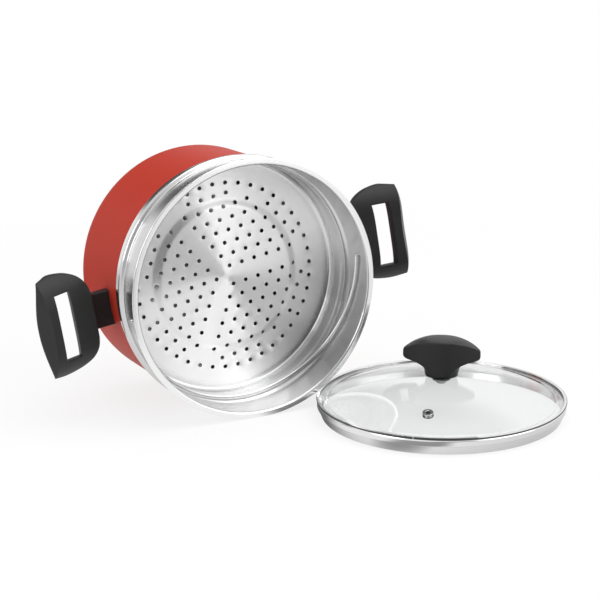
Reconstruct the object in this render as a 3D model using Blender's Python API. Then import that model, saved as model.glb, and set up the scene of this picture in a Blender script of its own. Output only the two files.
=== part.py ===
"""Steamer pot lying on its side with its basket in place, and its glass lid flat on the table."""
import math

import bmesh
import bpy
from mathutils import Vector

# Pot: a drawn steel vessel, heights measured from its base
POT_RADIUS = 0.1196
POT_HEIGHT = 0.1150
POT_WALL = 0.0012
POT_BASE = 0.0030
POT_CORNER = 0.0110
RIM_BEAD = 0.0012
RIM_BEAD_HEIGHT = 0.0030

# Steamer basket: heights measured from the top of its perforated plate
BASKET_SHEET = 0.0008
BASKET_FIT = 0.0016
BASKET_SEAT = 0.0003
PLATE_DEPTH = 0.0276
PLATE_CORNER = 0.0110
STEP_OUT = 0.0010
STEP_DROP = 0.0050
BEAD_OUT = 0.0039
BEAD_HEIGHT = 0.0085
WALL_IN = 0.0001
BASKET_STAND = 0.0460
RIM_OUT = 0.0054
RIM_FILLET = 0.0035
RIM_LIP = 0.0024
DISC_RADIUS = 0.0680
DISC_SLOPE = 0.0090
DISC_RISE = 0.0033

# Holes in the plate: one ring and three wedges of a triangular grid
HOLE_RADIUS = 0.0016
RING_RADIUS = 0.0920
RING_HOLES = 42
GRID_PITCH = 0.01357
GRID_START = 0.0109
GRID_LIMIT = 0.0846
WEDGES = 3

# Wire bail of the basket, hinged through two holes in the upper wall
WIRE_RADIUS = 0.0015
BAIL_FIT = 0.0004
BAIL_HEIGHT = 0.0565
BAIL_INSET = 0.0031
BAIL_END = 0.0032
BAIL_BEND = 0.0022
BAIL_DROP = math.radians(12.6)
BAIL_TURN = math.radians(-2.4)

# Side handles: heights measured from the front face of the block that meets the pot wall
HANDLE_DROP = 0.0316
BLOCK_WIDTH = 0.0350
BLOCK_HEIGHT = 0.0100
GRIP_ROOT = 0.0206
GRIP_STEP = 0.0146
GRIP_CREASE = 0.0660
GRIP_LIFT = 0.0300
GRIP_REACH = 0.0780
GRIP_RIDGE = 0.0160
GRIP_TIP = 0.0712
GRIP_WIDTH = 0.0990
GRIP_TIP_WIDTH = 0.0935
GRIP_THICKNESS = 0.0085
SLOT_START = 0.0418
SLOT_WIDTH = 0.0175
SLOT_LENGTH = 0.0645
SLOT_ROUND = 0.0020
SEAT_GAP = 0.0003

# Steel bracket welded to the pot wall inside each handle, and its screw
FOOT_WIDTH = 0.0160
FOOT_HEIGHT = 0.0064
FOOT_THICKNESS = 0.0012
TONGUE_LENGTH = 0.0180
TONGUE_WIDTH = 0.0120
TONGUE_THICKNESS = 0.0025
POCKET_FIT = 0.0004
SCREW_PLACE = 0.0120
SCREW_RADIUS = 0.0016
SCREW_LENGTH = 0.0060
SCREW_FIT = 0.0003
SCREW_HEAD_RADIUS = 0.0032
SCREW_HEAD_HEIGHT = 0.0016
SCREW_HEAD_DEPTH = 0.0020

# Lid: heights measured from its foot, which stands on the table
LID_RADIUS = 0.1200
LID_HEIGHT = 0.0164
FLANGE_WIDTH = 0.0029
FLANGE_OUT = 0.0006
FLANGE_THICKNESS = 0.0021
BAND_SHEET = 0.0008
BAND_CREASE = 0.0080
CREASE_STEP = 0.0007
SKIRT_LEAN = 0.0042
GLASS_THICKNESS = 0.0040
GLASS_FIT = 0.0003
GLASS_LEDGE = 0.0034
DOME_INSET = 0.0097
DOME_RISE = 0.0216
GLASS_HOLE = 0.0040

# Vent eyelet in the glass
VENT_INSET = 0.0415
VENT_ANGLE = math.radians(-129.8)
VENT_BORE = 0.0022
VENT_TUBE = 0.0036
VENT_FLANGE = 0.0052
VENT_FLANGE_THICKNESS = 0.0007

# Knob of the lid with its seal, insert, washer and screw
KNOB_WIDTH = 0.0740
KNOB_DEPTH = 0.0300
KNOB_END_DEPTH = 0.0040
KNOB_HEIGHT = 0.0360
KNOB_EDGE_TOP = 0.0243
KNOB_EDGE_FOOT = 0.0172
KNOB_NECK = 0.0284
KNOB_TURN = math.radians(-36.0)
SEAL_RADIUS = 0.0110
SEAL_THICKNESS = 0.0012
INSERT_RADIUS = 0.0045
INSERT_LENGTH = 0.0180
KNOB_SCREW_RADIUS = 0.0025
KNOB_SCREW_LENGTH = 0.0200
KNOB_SCREW_HEAD_RADIUS = 0.0050
KNOB_SCREW_HEAD_HEIGHT = 0.0028
WASHER_RADIUS = 0.0090
WASHER_THICKNESS = 0.0012
PART_GAP = 0.0003

# How the pieces lie: turns about the pot's axis, and the lid's gap and bearing from the basket's rim
HANDLE_TURN = math.radians(8.3)
BASKET_TURN = math.radians(10.7)
LID_GAP = 0.00089
LID_BEARING = math.radians(-35.648)

# Sides of the round pieces
SIDES = 48
HALF_SIDE = math.pi / SIDES
FLAT = math.cos(HALF_SIDE)


def clear_scene():
    for obj in list(bpy.data.objects):
        bpy.data.objects.remove(obj, do_unlink=True)


def material(name, colour, roughness, metallic=0.0, alpha=1.0):
    mat = bpy.data.materials.new(name)
    mat.use_nodes = True
    shader = mat.node_tree.nodes["Principled BSDF"]
    shader.inputs["Base Color"].default_value = (*colour, 1.0)
    shader.inputs["Roughness"].default_value = roughness
    shader.inputs["Metallic"].default_value = metallic
    shader.inputs["Alpha"].default_value = alpha
    return mat


def empty(name, parent=None, location=(0, 0, 0), rotation=(0, 0, 0)):
    obj = bpy.data.objects.new(name, None)
    obj.parent = parent
    obj.location = location
    obj.rotation_euler = rotation
    bpy.context.collection.objects.link(obj)
    return obj


def add_object(name, bm, mat, parent, smooth=True):
    mesh = bpy.data.meshes.new(name)
    bm.to_mesh(mesh)
    bm.free()
    if smooth:
        mesh.shade_smooth()
        mesh.set_sharp_from_angle(angle=math.radians(32))
    if mat:
        mesh.materials.append(mat)
    obj = bpy.data.objects.new(name, mesh)
    obj.parent = parent
    bpy.context.collection.objects.link(obj)
    return obj


def turned(name, profile, mat, parent, start=0.0, sides=SIDES, capped=False):
    """Turn a profile of (radius, height) points, given outer side downwards, about the Z axis."""
    bm = bmesh.new()
    verts = [bm.verts.new((r * math.cos(start), r * math.sin(start), z)) for r, z in profile]
    edges = [bm.edges.new(pair) for pair in zip(verts, verts[1:])]
    if not capped:
        edges.append(bm.edges.new((verts[-1], verts[0])))
    bmesh.ops.spin(bm, geom=verts + edges, cent=(0, 0, 0), axis=(0, 0, 1), angle=2 * math.pi,
                   steps=sides, use_merge=True)
    if capped:
        bmesh.ops.edgeloop_fill(bm, edges=[edge for edge in bm.edges if edge.is_boundary])
    bmesh.ops.recalc_face_normals(bm, faces=bm.faces)
    return add_object(name, bm, mat, parent)


def prism(name, outline, start, end, plane, mat, parent):
    """Extrude an outline drawn in the XY or XZ plane from start to end along the third axis."""
    bm = bmesh.new()
    if plane == "XY":
        verts = [bm.verts.new((x, y, start)) for x, y in outline]
        step = (0, 0, end - start)
    else:
        verts = [bm.verts.new((x, start, y)) for x, y in outline]
        step = (0, end - start, 0)
    face = bm.faces.new(verts)
    side = bmesh.ops.extrude_face_region(bm, geom=[face])
    moved = [item for item in side["geom"] if isinstance(item, bmesh.types.BMVert)]
    bmesh.ops.translate(bm, verts=moved, vec=step)
    bmesh.ops.recalc_face_normals(bm, faces=bm.faces)
    return add_object(name, bm, mat, parent, smooth=False)


def block(name, low, high, mat, parent):
    outline = [(low[0], low[1]), (high[0], low[1]), (high[0], high[1]), (low[0], high[1])]
    return prism(name, outline, low[2], high[2], "XY", mat, parent)


def rod(name, radius, start, end, parent, axis="Z", sides=24, mat=None):
    """A cylinder from start to end along an axis of its parent."""
    bm = bmesh.new()
    bmesh.ops.create_cone(bm, cap_ends=True, segments=sides, radius1=radius, radius2=radius,
                          depth=end - start)
    bmesh.ops.translate(bm, verts=bm.verts, vec=(0, 0, (start + end) / 2))
    obj = add_object(name, bm, mat, parent)
    if axis == "X":
        obj.rotation_euler = (0, math.pi / 2, 0)
    return obj


def combine(obj, tool, operation="DIFFERENCE"):
    tool.hide_render = True
    tool.display_type = "WIRE"
    modifier = obj.modifiers.new(operation.lower() + "_" + tool.name, "BOOLEAN")
    modifier.object = tool
    modifier.operation = operation
    modifier.solver = "EXACT"


def arc(centre, radius, first, last, count):
    """Points on a circle from one angle in degrees to another, both ends included."""
    angles = [math.radians(first + (last - first) * i / count) for i in range(count + 1)]
    return [(centre[0] + radius * math.cos(a), centre[1] + radius * math.sin(a)) for a in angles]


def smooth_line(points, steps):
    """A curve through the given points, with a number of steps between each pair."""
    padded = [points[0], *points, points[-1]]
    result = []
    for i in range(1, len(padded) - 2):
        before, first, second, after = (Vector(p) for p in padded[i - 1:i + 3])
        for k in range(steps):
            t = k / steps
            point = 2 * first + (second - before) * t
            point += (2 * before - 5 * first + 4 * second - after) * t ** 2
            point += (3 * first - before - 3 * second + after) * t ** 3
            result.append(tuple(point / 2))
    result.append(tuple(points[-1]))
    return result


clear_scene()
red_enamel = material("red_enamel", (0.49, 0.062, 0.045), 0.32)
steel = material("polished_steel", (0.72, 0.72, 0.73), 0.16, 1.0)
brushed = material("brushed_steel", (0.66, 0.66, 0.67), 0.28, 1.0)
bakelite = material("black_bakelite", (0.012, 0.012, 0.013), 0.38)
clear_glass = material("clear_glass", (0.90, 0.95, 0.93), 0.03, 0.0, 0.3)
silicone = material("grey_silicone", (0.30, 0.30, 0.31), 0.55)

# Derived places along the pot's axis and across it
plate_height = POT_HEIGHT - PLATE_DEPTH
basket_top = PLATE_DEPTH + BASKET_STAND
pot_inner = POT_RADIUS - POT_WALL
bead_radius = POT_RADIUS + BEAD_OUT
wall_radius = POT_RADIUS - WALL_IN
rim_radius = POT_RADIUS + RIM_OUT
bail_reach = wall_radius - BAIL_INSET
lip_foot = basket_top - RIM_LIP

# The pot rests on the foot of the basket's lip and on the wall just above its base corner
rest_run = plate_height + lip_foot - POT_CORNER
rest_tilt = math.atan2((rim_radius - POT_RADIUS) * FLAT, rest_run)
base_height = POT_RADIUS * FLAT * math.cos(rest_tilt) - POT_CORNER * math.sin(rest_tilt)

whole = empty("steamer_pot")
pot_axis = empty("pot_axis", whole, (0, 0, base_height), (math.pi / 2 - rest_tilt, 0, 0))
basket_axis = empty("basket_axis", pot_axis, (0, 0, plate_height), (0, 0, BASKET_TURN))
bail_pivot = empty("bail_pivot", basket_axis, (0, 0, BAIL_HEIGHT), (math.pi + BAIL_DROP, 0, BAIL_TURN))

# The lid lies beside the rim, at the height of its flange
meet_height = LID_HEIGHT - FLANGE_THICKNESS / 2
meet_down = base_height + (plate_height + basket_top) * math.sin(rest_tilt) - meet_height
meet_down /= math.cos(rest_tilt)
meet_side = math.sqrt(rim_radius ** 2 - meet_down ** 2)
meet_y = -meet_down * math.sin(rest_tilt) - (plate_height + basket_top) * math.cos(rest_tilt)
lid_x = meet_side + (LID_RADIUS + LID_GAP) * math.cos(LID_BEARING)
lid_y = meet_y + (LID_RADIUS + LID_GAP) * math.sin(LID_BEARING)
lid_axis = empty("lid_axis", whole, (lid_x, lid_y, 0))

# Pot body: base, rounded corner, straight wall and a small bead round the mouth
inner_corner = POT_CORNER - POT_WALL
pot_profile = [(pot_inner - inner_corner, POT_BASE)]
pot_profile += arc((pot_inner - inner_corner, POT_BASE + inner_corner), inner_corner, -60, 0, 2)
pot_profile += [(pot_inner, POT_HEIGHT), (POT_RADIUS + RIM_BEAD * 0.6, POT_HEIGHT)]
pot_profile += [(POT_RADIUS + RIM_BEAD, POT_HEIGHT - RIM_BEAD * 0.5)]
pot_profile += [(POT_RADIUS + RIM_BEAD, POT_HEIGHT - RIM_BEAD_HEIGHT + RIM_BEAD)]
pot_profile += [(POT_RADIUS, POT_HEIGHT - RIM_BEAD_HEIGHT)]
pot_profile += arc((POT_RADIUS - POT_CORNER, POT_CORNER), POT_CORNER, 0, -90, 4)
turned("pot_body", pot_profile, red_enamel, pot_axis, start=HALF_SIDE, capped=True)

# Steamer basket: plate with a raised disc, wall with a bead that sits on the pot, and a flared rim
sheet = BASKET_SHEET
low_outer = pot_inner - BASKET_FIT
low_inner = low_outer - sheet
step_outer = low_outer + STEP_OUT
bead_foot = PLATE_DEPTH + BASKET_SEAT
bead_top = bead_foot + BEAD_HEIGHT
bead_bulge = (bead_radius - step_outer) * 0.45
rim_centre = (wall_radius - sheet + RIM_FILLET, basket_top - RIM_FILLET)
corner_centre = (low_inner - PLATE_CORNER, PLATE_CORNER)
basket_profile = [(DISC_RADIUS, DISC_RISE), (DISC_RADIUS + DISC_SLOPE, 0)]
basket_profile += arc(corner_centre, PLATE_CORNER, -90, 0, 3)
basket_profile += [(low_inner, bead_foot - STEP_DROP - STEP_OUT * 2)]
basket_profile += [(step_outer - sheet, bead_foot - STEP_DROP)]
basket_profile += [(step_outer - sheet, bead_foot + sheet)]
basket_profile += [(step_outer + bead_bulge - sheet / 2, bead_foot + sheet)]
basket_profile += [(bead_radius - sheet, bead_foot + BEAD_HEIGHT * 0.35)]
basket_profile += [(bead_radius - sheet, bead_foot + BEAD_HEIGHT * 0.65)]
basket_profile += [(wall_radius - sheet, bead_top)]
basket_profile += arc(rim_centre, RIM_FILLET, 180, 90, 2)
basket_profile += [(rim_radius - sheet, basket_top), (rim_radius, basket_top - sheet)]
basket_profile += [(rim_radius, lip_foot), (rim_radius - sheet, lip_foot)]
basket_profile += [(rim_radius - sheet * 1.2, basket_top - sheet)]
basket_profile += arc(rim_centre, RIM_FILLET - sheet, 90, 180, 2)
basket_profile += [(wall_radius, bead_top + sheet / 2)]
basket_profile += [(bead_radius, bead_foot + BEAD_HEIGHT * 0.65 + sheet / 2)]
basket_profile += [(bead_radius, bead_foot + BEAD_HEIGHT * 0.35 - sheet / 2)]
basket_profile += [(step_outer + bead_bulge, bead_foot), (step_outer, bead_foot)]
basket_profile += [(step_outer, bead_foot - STEP_DROP - sheet / 2)]
basket_profile += [(low_outer, bead_foot - STEP_DROP - STEP_OUT * 2 - sheet / 2)]
basket_profile += arc(corner_centre, PLATE_CORNER + sheet, 0, -90, 3)
basket_profile += [(DISC_RADIUS + DISC_SLOPE, -sheet), (DISC_RADIUS, DISC_RISE - sheet)]
basket = turned("steamer_basket", basket_profile, brushed, basket_axis, start=HALF_SIDE - BASKET_TURN,
                capped=True)


def hole_places():
    """Centres of the holes: the ring first, then each wedge from its point outwards."""
    places = []
    for i in range(RING_HOLES):
        angle = 2 * math.pi * i / RING_HOLES
        places.append((RING_RADIUS * math.cos(angle), RING_RADIUS * math.sin(angle)))
    rows = int(GRID_LIMIT / GRID_PITCH) + 2
    for wedge in range(WEDGES):
        middle = math.pi / WEDGES + 2 * math.pi * wedge / WEDGES
        for i in range(rows):
            for j in range(rows):
                x = GRID_START * math.cos(middle)
                x += GRID_PITCH * i * math.cos(middle + math.pi / 3)
                x += GRID_PITCH * j * math.cos(middle - math.pi / 3)
                y = GRID_START * math.sin(middle)
                y += GRID_PITCH * i * math.sin(middle + math.pi / 3)
                y += GRID_PITCH * j * math.sin(middle - math.pi / 3)
                if math.hypot(x, y) <= GRID_LIMIT:
                    places.append((x, y))
    return places


# Plate holes and the two bail holes
cutter_mesh = bmesh.new()
for x, y in hole_places():
    made = bmesh.ops.create_cone(cutter_mesh, cap_ends=True, segments=6, radius1=HOLE_RADIUS,
                                 radius2=HOLE_RADIUS, depth=0.02)
    bmesh.ops.translate(cutter_mesh, verts=made["verts"], vec=(x, y, 0))
combine(basket, add_object("plate_hole_tool", cutter_mesh, None, basket_axis, smooth=False))
hole_reach = wall_radius + BAIL_END * 2
bail_hole = rod("bail_hole_tool", WIRE_RADIUS + BAIL_FIT, -hole_reach, hole_reach, basket_axis,
                axis="X", sides=12)
bail_hole.location = (0, 0, BAIL_HEIGHT)
bail_hole.rotation_euler.z = BAIL_TURN
combine(basket, bail_hole)

# Bail: one bent wire whose ends pass outwards through the wall
bail_points = [(wall_radius + BAIL_END, 0), (bail_reach + BAIL_BEND, 0)]
bail_points += [(bail_reach + BAIL_BEND * 0.35, BAIL_BEND * 0.2), (bail_reach, BAIL_BEND)]
bail_half = [math.pi / 2 * i / 14 for i in range(1, 15)]
bail_points += [(bail_reach * math.cos(a), bail_reach * math.sin(a)) for a in bail_half]
bail_points += [(-x, y) for x, y in reversed(bail_points[:-1])]
wire = bpy.data.curves.new("basket_bail", "CURVE")
wire.dimensions = "3D"
wire.bevel_depth = WIRE_RADIUS
wire.bevel_resolution = 2
wire.use_fill_caps = True
wire.materials.append(steel)
spline = wire.splines.new("POLY")
spline.points.add(len(bail_points) - 1)
for point, (x, y) in zip(spline.points, bail_points):
    point.co = (x, y, 0, 1)
bail = bpy.data.objects.new("basket_bail", wire)
bail.parent = bail_pivot
bpy.context.collection.objects.link(bail)

# Plate of a grip seen along the pot's axis and from its side, then the block that carries it
half_wide = GRIP_WIDTH / 2
half_tip = GRIP_TIP_WIDTH / 2
inside = POT_RADIUS - 0.004
root = POT_RADIUS + GRIP_ROOT
crease = POT_RADIUS + GRIP_CREASE
tip = POT_RADIUS + GRIP_TIP
reach = POT_RADIUS + GRIP_REACH
side_run = [(root, BLOCK_WIDTH / 2 + 0.0035), (root + 0.0010, half_wide * 0.57)]
side_run += [(root + 0.0033, half_wide * 0.69), (root + 0.0078, half_wide * 0.81)]
side_run += [(root + 0.0150, half_wide * 0.90), (root + 0.0240, half_wide * 0.965)]
side_run += [(root + 0.0380, half_wide), (tip, half_tip)]
edge_run = [(tip, half_tip), (tip + (reach - tip) * 0.62, half_tip * 0.66), (reach, 0)]
grip_half = smooth_line(side_run, 2)[:-1] + smooth_line(edge_run, 4)
grip_outline = grip_half + [(x, -y) for x, y in reversed(grip_half[:-1])]
slope = (GRIP_LIFT - GRIP_STEP) / (crease - root)
plate_back = GRIP_STEP - GRIP_THICKNESS
grip_side = [(root - 0.004, GRIP_STEP - 0.004 * slope), (crease, GRIP_LIFT), (reach, GRIP_RIDGE)]
grip_side += [(reach - 0.0045, GRIP_RIDGE - 0.006), (crease, GRIP_LIFT - GRIP_THICKNESS * 1.2)]
grip_side += [(root + 0.0204, plate_back + 0.0204 * slope), (root - 0.004, plate_back - 0.004 * slope)]
block_side = [(inside, 0), (root + 0.0004, 0), (root + 0.0004, plate_back + 0.004)]
block_side += [(root + 0.0220, plate_back + 0.0220 * slope + 0.002)]
back_run = [(root + 0.0204, plate_back + 0.0204 * slope - 0.0002)]
back_run += [(root + 0.0094, -BLOCK_HEIGHT * 0.3), (root - 0.0016, -BLOCK_HEIGHT)]
block_side += smooth_line(back_run, 3) + [(inside, -BLOCK_HEIGHT)]


def slot_outline():
    """Rounded finger slot of a grip, drawn in the same plane as the grip's outline."""
    near = POT_RADIUS + SLOT_START + SLOT_ROUND
    far = POT_RADIUS + SLOT_START + SLOT_WIDTH - SLOT_ROUND
    end = SLOT_LENGTH / 2 - SLOT_ROUND
    outline = arc((far, end), SLOT_ROUND, 0, 90, 3) + arc((near, end), SLOT_ROUND, 90, 180, 3)
    outline += arc((near, -end), SLOT_ROUND, 180, 270, 3) + arc((far, -end), SLOT_ROUND, 270, 360, 3)
    return outline


def handle(side, turn):
    """Grip, bracket and screw of one handle, placed at an angle round the pot."""
    seat = empty(side + "_handle_seat", pot_axis, (0, 0, POT_HEIGHT - HANDLE_DROP), (0, 0, turn))
    middle = -BLOCK_HEIGHT / 2
    wall = POT_RADIUS + SEAT_GAP
    foot = wall + FOOT_THICKNESS
    fit = POCKET_FIT

    grip = prism(side + "_handle_grip", grip_outline, -0.04, 0.04, "XY", bakelite, seat)
    side_tool = prism(side + "_side_tool", grip_side, -GRIP_WIDTH, GRIP_WIDTH, "XZ", None, seat)
    combine(grip, side_tool, "INTERSECT")
    half_block = BLOCK_WIDTH / 2
    carrier = prism(side + "_carrier", block_side, -half_block, half_block, "XZ", None, seat)
    combine(grip, carrier, "UNION")
    combine(grip, prism(side + "_slot_tool", slot_outline(), -0.05, 0.05, "XY", None, seat))
    combine(grip, rod(side + "_wall_tool", POT_RADIUS + SEAT_GAP, -0.05, 0.05, seat, sides=SIDES * 3))
    foot_low = Vector((wall, -FOOT_WIDTH / 2, middle - FOOT_HEIGHT / 2))
    foot_high = Vector((foot, FOOT_WIDTH / 2, middle + FOOT_HEIGHT / 2))
    tongue_low = Vector((wall + FOOT_THICKNESS / 2, -TONGUE_WIDTH / 2, middle - TONGUE_THICKNESS / 2))
    tongue_high = Vector((foot + TONGUE_LENGTH, TONGUE_WIDTH / 2, middle + TONGUE_THICKNESS / 2))
    spare = Vector((fit, fit, fit))
    foot_tool_low = foot_low - spare
    foot_tool_low.x = inside
    combine(grip, block(side + "_foot_tool", foot_tool_low, foot_high + spare, None, seat))
    combine(grip, block(side + "_tongue_tool", tongue_low - spare, tongue_high + spare, None, seat))

    bracket = block(side + "_handle_bracket", foot_low, foot_high, steel, seat)
    tongue = block(side + "_tongue", tongue_low, tongue_high, None, seat)
    combine(bracket, tongue, "UNION")

    head_foot = -BLOCK_HEIGHT + SCREW_HEAD_DEPTH - SCREW_HEAD_HEIGHT
    head_top = head_foot + SCREW_HEAD_HEIGHT
    screw_seat = empty(side + "_screw_seat", seat, (wall + SCREW_PLACE, 0, 0))
    screw_profile = [(SCREW_RADIUS, head_top + SCREW_LENGTH), (SCREW_RADIUS, head_top)]
    screw_profile += [(SCREW_HEAD_RADIUS, head_top), (SCREW_HEAD_RADIUS, head_foot)]
    turned(side + "_handle_screw", screw_profile, steel, screw_seat, sides=16, capped=True)
    shank_tool = rod(side + "_shank_tool", SCREW_RADIUS + SCREW_FIT, head_foot,
                     head_top + SCREW_LENGTH + SCREW_FIT, screw_seat)
    head_tool = rod(side + "_head_tool", SCREW_HEAD_RADIUS + SCREW_FIT, -BLOCK_HEIGHT - 0.01,
                    head_top + SCREW_FIT, screw_seat)
    combine(bracket, shank_tool)
    combine(grip, shank_tool)
    combine(grip, head_tool)


handle("right", HANDLE_TURN)
handle("left", HANDLE_TURN + math.pi)

# Glass lid: a shallow dome with a flat margin that sits in the rim band
band_wall = LID_RADIUS - FLANGE_OUT
channel = band_wall - BAND_SHEET
glass_radius = channel - GLASS_FIT
vent_place = LID_RADIUS - VENT_INSET
glass_top = LID_HEIGHT - BAND_SHEET - GLASS_FIT
glass_foot = glass_top - GLASS_THICKNESS
dome_edge = LID_RADIUS - DOME_INSET
dome_radius = (dome_edge ** 2 + DOME_RISE ** 2) / (2 * DOME_RISE)
dome_centre = glass_top + DOME_RISE - dome_radius
under_radius = dome_radius - GLASS_THICKNESS


def dome(radius, height):
    """Points on the dome's circle from the centre hole out to a height."""
    first = math.asin(GLASS_HOLE / radius)
    last = math.acos((height - dome_centre) / radius)
    angles = [first + (last - first) * i / 7 for i in range(8)]
    return [(radius * math.sin(a), dome_centre + radius * math.cos(a)) for a in angles]


glass_profile = dome(dome_radius, glass_top) + [(glass_radius, glass_top), (glass_radius, glass_foot)]
glass_profile += list(reversed(dome(under_radius, glass_foot)))
glass = turned("lid_glass", glass_profile, clear_glass, lid_axis)

# Rim band: narrow flange over a channel that holds the edge of the glass, then a crease and a skirt
flange_edge = LID_RADIUS - FLANGE_WIDTH
flange_foot = LID_HEIGHT - FLANGE_THICKNESS
crease_radius = band_wall - CREASE_STEP
skirt_foot = band_wall - SKIRT_LEAN
ledge_top = glass_foot - GLASS_FIT
ledge_tip = glass_radius - GLASS_LEDGE
band_profile = [(flange_edge, LID_HEIGHT), (LID_RADIUS - FLANGE_OUT, LID_HEIGHT)]
band_profile += [(LID_RADIUS, LID_HEIGHT - 0.0006), (LID_RADIUS, flange_foot + 0.0004)]
band_profile += [(band_wall, flange_foot), (band_wall, BAND_CREASE + 0.0006), (crease_radius, BAND_CREASE)]
band_profile += [(skirt_foot, 0), (skirt_foot - BAND_SHEET, 0)]
band_profile += [(crease_radius - BAND_SHEET, BAND_CREASE), (channel, ledge_top - BAND_SHEET)]
band_profile += [(ledge_tip, ledge_top - BAND_SHEET), (ledge_tip, ledge_top), (channel, ledge_top)]
band_profile += [(channel, LID_HEIGHT - BAND_SHEET), (flange_edge, LID_HEIGHT - BAND_SHEET)]
turned("lid_rim_band", band_profile, steel, lid_axis)

# Vent eyelet, square to the dome
vent_lean = math.asin(vent_place / dome_radius)
vent_axis = empty("vent_axis", lid_axis, (0, 0, dome_centre), (0, vent_lean, VENT_ANGLE))
vent_top = dome_radius + PART_GAP
vent_foot = under_radius - PART_GAP
vent_profile = [(VENT_BORE, vent_top + VENT_FLANGE_THICKNESS)]
vent_profile += [(VENT_FLANGE - 0.0004, vent_top + VENT_FLANGE_THICKNESS), (VENT_FLANGE, vent_top)]
vent_profile += [(VENT_TUBE, vent_top), (VENT_TUBE, vent_foot), (VENT_FLANGE, vent_foot)]
vent_profile += [(VENT_FLANGE - 0.0004, vent_foot - VENT_FLANGE_THICKNESS)]
vent_profile += [(VENT_BORE, vent_foot - VENT_FLANGE_THICKNESS)]
turned("lid_vent_eyelet", vent_profile, steel, vent_axis, sides=20)
combine(glass, rod("vent_tool", VENT_TUBE + PART_GAP, under_radius - 0.01, dome_radius + 0.01, vent_axis))

# Knob stack on the glass: seal, knob with its insert, and the screw with its washer below
glass_crown = dome_centre + dome_radius
seal_foot = glass_crown + PART_GAP
knob_foot = seal_foot + SEAL_THICKNESS + PART_GAP
bore = KNOB_SCREW_RADIUS + PART_GAP
knob_axis = empty("knob_axis", lid_axis, (0, 0, knob_foot), (0, 0, KNOB_TURN))
seal_profile = [(bore, seal_foot + SEAL_THICKNESS), (SEAL_RADIUS, seal_foot + SEAL_THICKNESS)]
seal_profile += [(SEAL_RADIUS, seal_foot), (bore, seal_foot)]
turned("lid_knob_seal", seal_profile, silicone, lid_axis, sides=32)

half_knob = KNOB_WIDTH / 2
neck = KNOB_NECK / 2
fall = KNOB_HEIGHT - KNOB_EDGE_TOP
crown_run = [(half_knob * 0.10, KNOB_HEIGHT), (half_knob * 0.45, KNOB_HEIGHT - fall * 0.08)]
crown_run += [(half_knob * 0.72, KNOB_HEIGHT - fall * 0.36)]
crown_run += [(half_knob * 0.88, KNOB_HEIGHT - fall * 0.64), (half_knob, KNOB_EDGE_TOP)]
under_run = [(half_knob - 0.0008, KNOB_EDGE_FOOT), (half_knob * 0.78, KNOB_EDGE_FOOT * 0.94)]
under_run += [(neck + 0.0078, KNOB_EDGE_FOOT * 0.78), (neck + 0.0028, KNOB_EDGE_FOOT * 0.48)]
under_run += [(neck + 0.0004, KNOB_EDGE_FOOT * 0.18), (neck, 0)]
knob_profile = smooth_line(crown_run, 2) + smooth_line(under_run, 2)
leaf_half = [(half_knob + 0.002, KNOB_END_DEPTH / 2)]
leaf_half += [(half_knob * c, KNOB_END_DEPTH / 2 + (KNOB_DEPTH - KNOB_END_DEPTH) / 2 * (1 - c * c))
              for c in (0.86, 0.68, 0.46, 0.22, 0)]
leaf = leaf_half + [(-x, y) for x, y in reversed(leaf_half[:-1])]
leaf += [(-x, -y) for x, y in leaf_half] + [(x, -y) for x, y in reversed(leaf_half[:-1])]
knob = turned("lid_knob", knob_profile, bakelite, knob_axis, sides=40, capped=True)
combine(knob, prism("knob_leaf_tool", leaf, -0.01, KNOB_HEIGHT + 0.01, "XY", None, knob_axis), "INTERSECT")
combine(knob, rod("insert_tool", INSERT_RADIUS + PART_GAP, -0.01, INSERT_LENGTH + PART_GAP * 2, knob_axis))

insert_profile = [(bore, PART_GAP + INSERT_LENGTH), (INSERT_RADIUS, PART_GAP + INSERT_LENGTH)]
insert_profile += [(INSERT_RADIUS, PART_GAP), (bore, PART_GAP)]
turned("lid_knob_insert", insert_profile, steel, knob_axis, sides=20)

glass_under = dome_centre + under_radius
washer_top = glass_under - PART_GAP
washer_foot = washer_top - WASHER_THICKNESS
washer_profile = [(bore, washer_top), (WASHER_RADIUS, washer_top - 0.0004), (WASHER_RADIUS, washer_foot)]
washer_profile += [(bore, washer_foot)]
turned("lid_knob_washer", washer_profile, steel, lid_axis, sides=32)
knob_head_top = washer_foot - PART_GAP
knob_head_foot = knob_head_top - KNOB_SCREW_HEAD_HEIGHT
knob_screw_profile = [(KNOB_SCREW_RADIUS, knob_head_top + KNOB_SCREW_LENGTH)]
knob_screw_profile += [(KNOB_SCREW_RADIUS, knob_head_top), (KNOB_SCREW_HEAD_RADIUS, knob_head_top)]
knob_screw_profile += [(KNOB_SCREW_HEAD_RADIUS, knob_head_foot + 0.0008)]
knob_screw_profile += [(KNOB_SCREW_HEAD_RADIUS - 0.0008, knob_head_foot)]
turned("lid_knob_screw", knob_screw_profile, steel, lid_axis, sides=20, capped=True)


def centre_footprint():
    """Move the whole set so that the middle of its footprint is the origin."""
    bpy.context.view_layer.update()
    graph = bpy.context.evaluated_depsgraph_get()
    corners = []
    for obj in bpy.data.objects:
        if obj.type in {"MESH", "CURVE"} and not obj.hide_render:
            solid = obj.evaluated_get(graph)
            corners += [solid.matrix_world @ vert.co for vert in solid.to_mesh().vertices]
            solid.to_mesh_clear()
    for axis in (0, 1):
        values = [corner[axis] for corner in corners]
        whole.location[axis] = -(min(values) + max(values)) / 2
    bpy.context.view_layer.update()


centre_footprint()
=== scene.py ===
"""Steamer pot on its side with its basket, wire bail, two handles, and the glass lid flat beside it."""
import math

import bmesh
import bpy
import numpy as np
from mathutils import Matrix, Vector
from mathutils.geometry import delaunay_2d_cdt


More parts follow.
